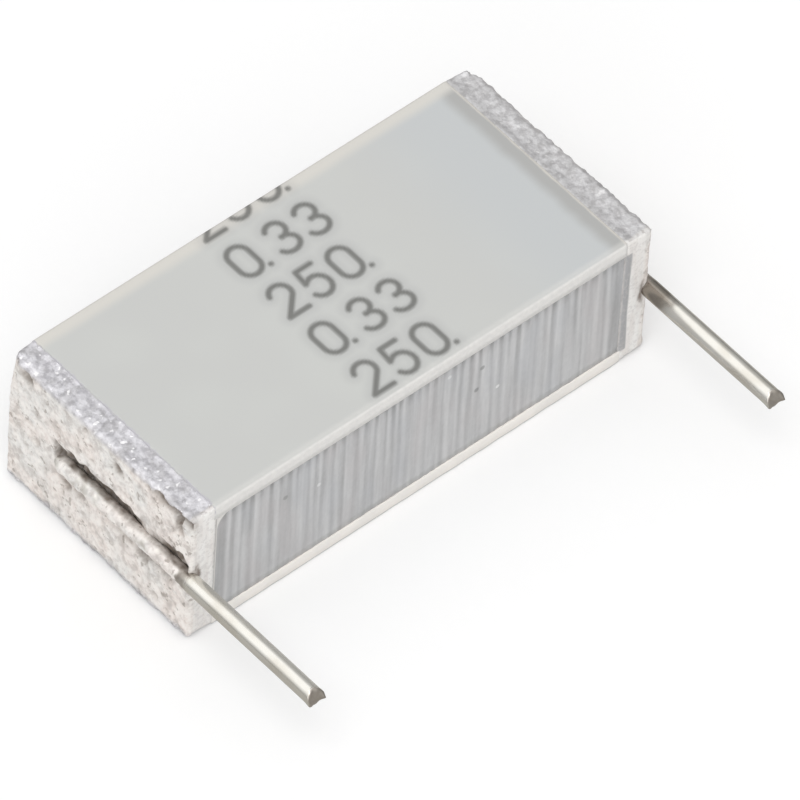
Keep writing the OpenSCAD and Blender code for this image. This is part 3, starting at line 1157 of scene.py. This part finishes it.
def add_floor():
    """A wide white floor that keeps the part's shadow, and that reflections see
    darker."""
    bm = bmesh.new()
    bmesh.ops.create_grid(bm, x_segments=1, y_segments=1, size=FLOOR_HALF)
    mesh = bpy.data.meshes.new("floor")
    bm.to_mesh(mesh)
    bm.free()
    m = new_finish("floor")
    plain = m.add("ShaderNodeBsdfDiffuse", {}, {"Color": (0.9, 0.9, 0.9, 1)})
    sockets = {"Color": (1, 1, 1, 1), "Strength": m.ray("Camera") * 0.12}
    lift = m.add("ShaderNodeEmission", {}, sockets)
    bright = m.add("ShaderNodeAddShader", {}, {0: plain, 1: lift})
    dim = m.add("ShaderNodeBsdfDiffuse", {}, {"Color": (0.5, 0.49, 0.47, 1)})
    both = m.add("ShaderNodeMixShader", {}, {0: m.ray("Glossy"), 1: bright, 2: dim})
    mesh.materials.append(m.end_in(both))
    mesh.transform(Matrix.Translation((0, 0, -FLOOR_GAP)))
    new_object("floor", mesh)


def light_world(settings):
    """Even light from all round, white where the camera looks past the floor.
    Reflections see a darker horizon and right side, which edge the wires."""
    world = bpy.data.worlds.new("studio")
    bpy.context.scene.world = world
    m = Finish(world, "Generated")
    even = m.ramp(m.z, [(0.0, shade(0.6)), (0.4, shade(0.95)), (1.0, shade(1.15))])
    mirrored = m.ramp(m.z, [(0.0, shade(0.4)), (0.3, shade(0.95)), (0.6, shade(1.6))])
    mirrored = m.blend(m.x.over(0.15, 0.6) * 0.62, mirrored, shade(0.15))
    sockets = {"Color": m.blend(m.ray("Glossy"), even, mirrored), "Strength": settings.sky}
    glow = m.add("ShaderNodeBackground", {}, sockets)
    white = m.add("ShaderNodeBackground", {}, {"Color": (1, 1, 1, 1)})
    mix = m.add("ShaderNodeMixShader", {}, {0: m.ray("Camera"), 1: glow, 2: white})
    m.end_in(mix, "ShaderNodeOutputWorld")


def add_lamp(name, place, size, power):
    """A square lamp that faces the origin."""
    light = bpy.data.lights.new(name, "AREA")
    light.size = size
    light.energy = power
    facing = Vector(place).to_track_quat("Z", "Y").to_matrix().to_4x4()
    new_object(name, light).matrix_world = Matrix.Translation(place) @ facing


def add_camera(settings):
    """A long lens that looks down on the part from its front left."""
    turn, rise, roll = settings.azimuth, settings.elevation, settings.roll
    level = math.cos(rise)
    back = Vector((math.sin(turn) * level, -math.cos(turn) * level, math.sin(rise)))
    right = Vector((math.cos(turn), math.sin(turn), 0))
    up = back.cross(right)
    leaning_right = right * math.cos(roll) + up * math.sin(roll)
    leaning_up = up * math.cos(roll) - right * math.sin(roll)
    aim = leaning_right * settings.aim_right + leaning_up * settings.aim_up
    lens = bpy.data.cameras.new("camera")
    lens.lens = lens.sensor_width * settings.distance / settings.width_seen
    camera = new_object("camera", lens)
    axes = Matrix((leaning_right, leaning_up, back)).transposed().to_4x4()
    camera.matrix_world = Matrix.Translation(aim + back * settings.distance) @ axes
    bpy.context.scene.camera = camera


class CAPACITOR_OT_stage(Operator):
    """Sets up the floor, the lights and the camera"""
    bl_idname = "capacitor.stage"
    bl_label = "Stage"

    def execute(self, context):
        settings = context.scene.capacitor_stage
        context.scene.view_settings.view_transform = "Standard"
        add_floor()
        light_world(settings)
        for name, place, size, share in LAMPS:
            add_lamp(name, place, size, settings.key * share)
        add_camera(settings)
        return {"FINISHED"}


# --- Add-on ---------------------------------------------------------------


class CAPACITOR_PT_panel(Panel):
    """Lists the steps that make the capacitor"""
    bl_label = "Film capacitor"
    bl_idname = "CAPACITOR_PT_panel"
    bl_space_type = "VIEW_3D"
    bl_region_type = "UI"
    bl_category = "Capacitor"

    def draw(self, context):
        for operator, settings, _ in STEPS:
            column = self.layout.column(align=True)
            column.operator(operator.bl_idname)
            group = getattr(context.scene, settings)
            for name in group.__annotations__:
                column.prop(group, name)


# Each operator, and the name and kind of its settings in the scene.
STEPS = [
    (CAPACITOR_OT_stage, "capacitor_stage", StageSettings),
    (CAPACITOR_OT_film_stack, "capacitor_stack", StackSettings),
    (CAPACITOR_OT_covers, "capacitor_covers", CoverSettings),
    (CAPACITOR_OT_contacts, "capacitor_contacts", ContactSettings),
    (CAPACITOR_OT_leads, "capacitor_leads", LeadSettings),
]


def register():
    for operator, name, group in STEPS:
        bpy.utils.register_class(group)
        setattr(bpy.types.Scene, name, PointerProperty(type=group))
        bpy.utils.register_class(operator)
    bpy.utils.register_class(CAPACITOR_PT_panel)


def unregister():
    bpy.utils.unregister_class(CAPACITOR_PT_panel)
    for operator, name, group in reversed(STEPS):
        bpy.utils.unregister_class(operator)
        delattr(bpy.types.Scene, name)
        bpy.utils.unregister_class(group)


def main():
    register()
    bpy.ops.capacitor.stage()
    bpy.ops.capacitor.film_stack()
    bpy.ops.capacitor.covers()
    bpy.ops.capacitor.contacts()
    bpy.ops.capacitor.leads()


if __name__ == "__main__":
    main()
